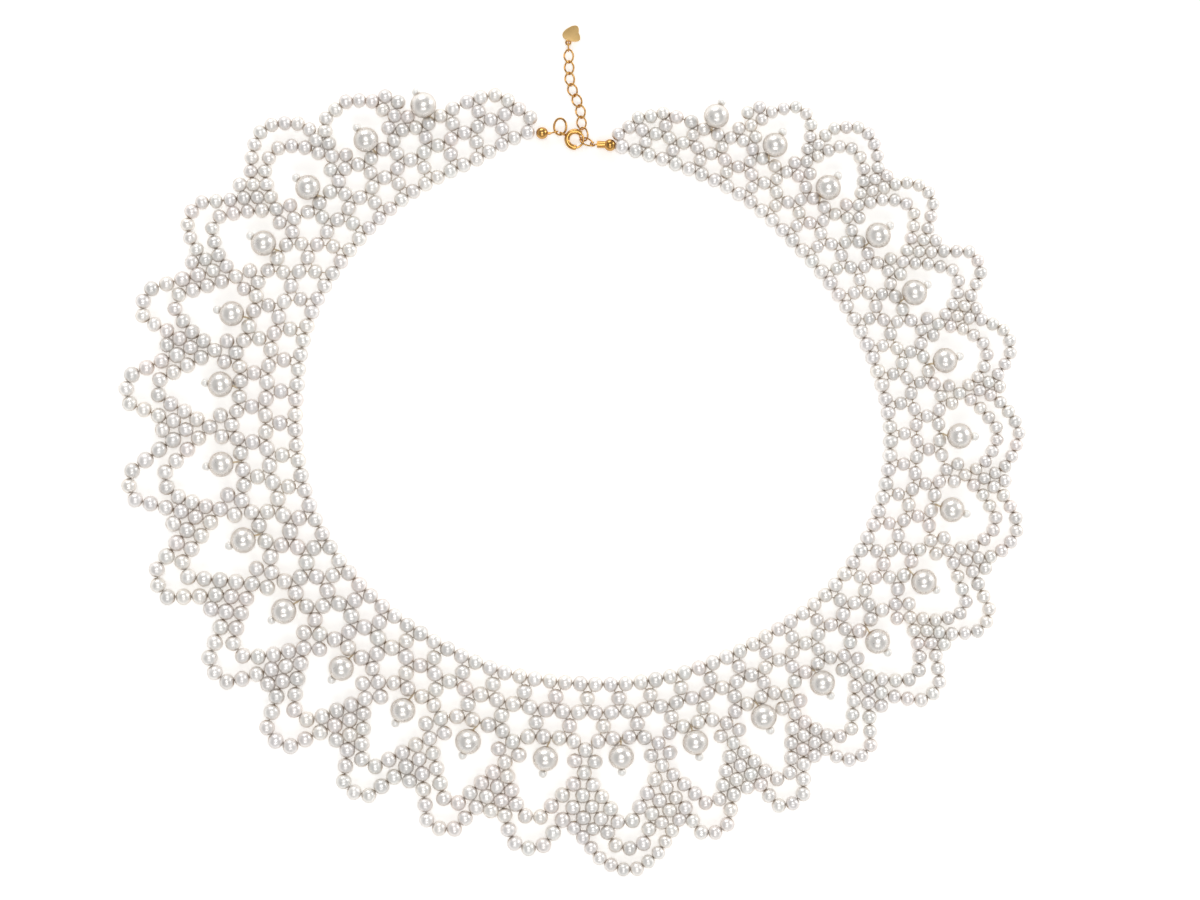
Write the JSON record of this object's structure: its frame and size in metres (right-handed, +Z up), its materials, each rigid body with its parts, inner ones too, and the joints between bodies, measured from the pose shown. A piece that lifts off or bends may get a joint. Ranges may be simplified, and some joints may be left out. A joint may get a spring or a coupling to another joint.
{
  "type": "beaded netting collar necklace",
  "caption": "Round necklace collar netted from small pearls, with larger hanging drops, scalloped double edge, spring ring clasp, extender chain and heart tag, laid flat.",
  "frame": {"origin": "centre of the collar's bounding box, on the surface that it lies on", "axes": "+X to the wearer's left as laid flat with the opening away from the viewer, +Y towards the back opening, +Z up off the surface"},
  "size_m": [0.1854, 0.1732, 0.0046],
  "materials": {
    "pearl": "warm white pearl coat, glossy",
    "drop_pearl": "warm white pearl coat, glossier and a little greyer",
    "gold_plate": "bright gold plate",
    "satin_gold": "brushed gold plate"
  },
  "bodies": {
    "collar": {"neck_strand": "pearl", "netting": "pearl", "inner_scallops": "pearl", "outer_scallops": "pearl", "centre_swag": "pearl", "drop_pearl_01": "drop_pearl", "drop_pearl_02": "drop_pearl", "drop_pearl_03": "drop_pearl", "drop_pearl_04": "drop_pearl", "drop_pearl_05": "drop_pearl", "drop_pearl_06": "drop_pearl", "drop_pearl_07": "drop_pearl", "drop_pearl_08": "drop_pearl", "drop_pearl_09": "drop_pearl", "drop_pearl_10": "drop_pearl", "drop_pearl_11": "drop_pearl", "drop_pearl_12": "drop_pearl", "drop_pearl_13": "drop_pearl", "drop_pearl_14": "drop_pearl", "drop_pearl_15": "drop_pearl", "drop_pearl_16": "drop_pearl", "drop_pearl_17": "drop_pearl", "drop_pearl_18": "drop_pearl", "drop_pearl_19": "drop_pearl", "drop_pearl_20": "drop_pearl", "drop_pearl_21": "drop_pearl", "drop_pearl_22": "drop_pearl", "drop_pearl_23": "drop_pearl", "drop_pearl_24": "drop_pearl", "drop_pearl_25": "drop_pearl", "drop_pearl_26": "drop_pearl", "drop_pearl_27": "drop_pearl", "end_bead_left": "gold_plate", "end_bead_right": "gold_plate", "eye_pin_left": "gold_plate", "eye_pin_right": "gold_plate", "jump_ring_left": "gold_plate", "jump_ring_right": "gold_plate", "spring_ring_clasp": "gold_plate", "chain_link_1": "gold_plate"},
    "extender": {"chain_link_2": "gold_plate", "chain_link_3": "gold_plate", "chain_link_4": "gold_plate", "chain_link_5": "gold_plate", "chain_link_6": "gold_plate", "chain_link_7": "gold_plate", "chain_link_8": "gold_plate", "tag_ring": "gold_plate"},
    "tag": {"heart_tag": "satin_gold"}
  },
  "joints": [
    {"name": "extender_swing", "type": "hinge", "parent": "collar", "child": "extender", "pos_m": [0.00208, 0.06589, 0.00066], "axis": [0, 0, 1], "range_deg": [-20, 35]},
    {"name": "tag_swing", "type": "hinge", "parent": "extender", "child": "tag", "pos_m": [-0.0008, 0.08355, 0.00095], "axis": [0, 0, 1], "range_deg": [-30, 75]}
  ]
}
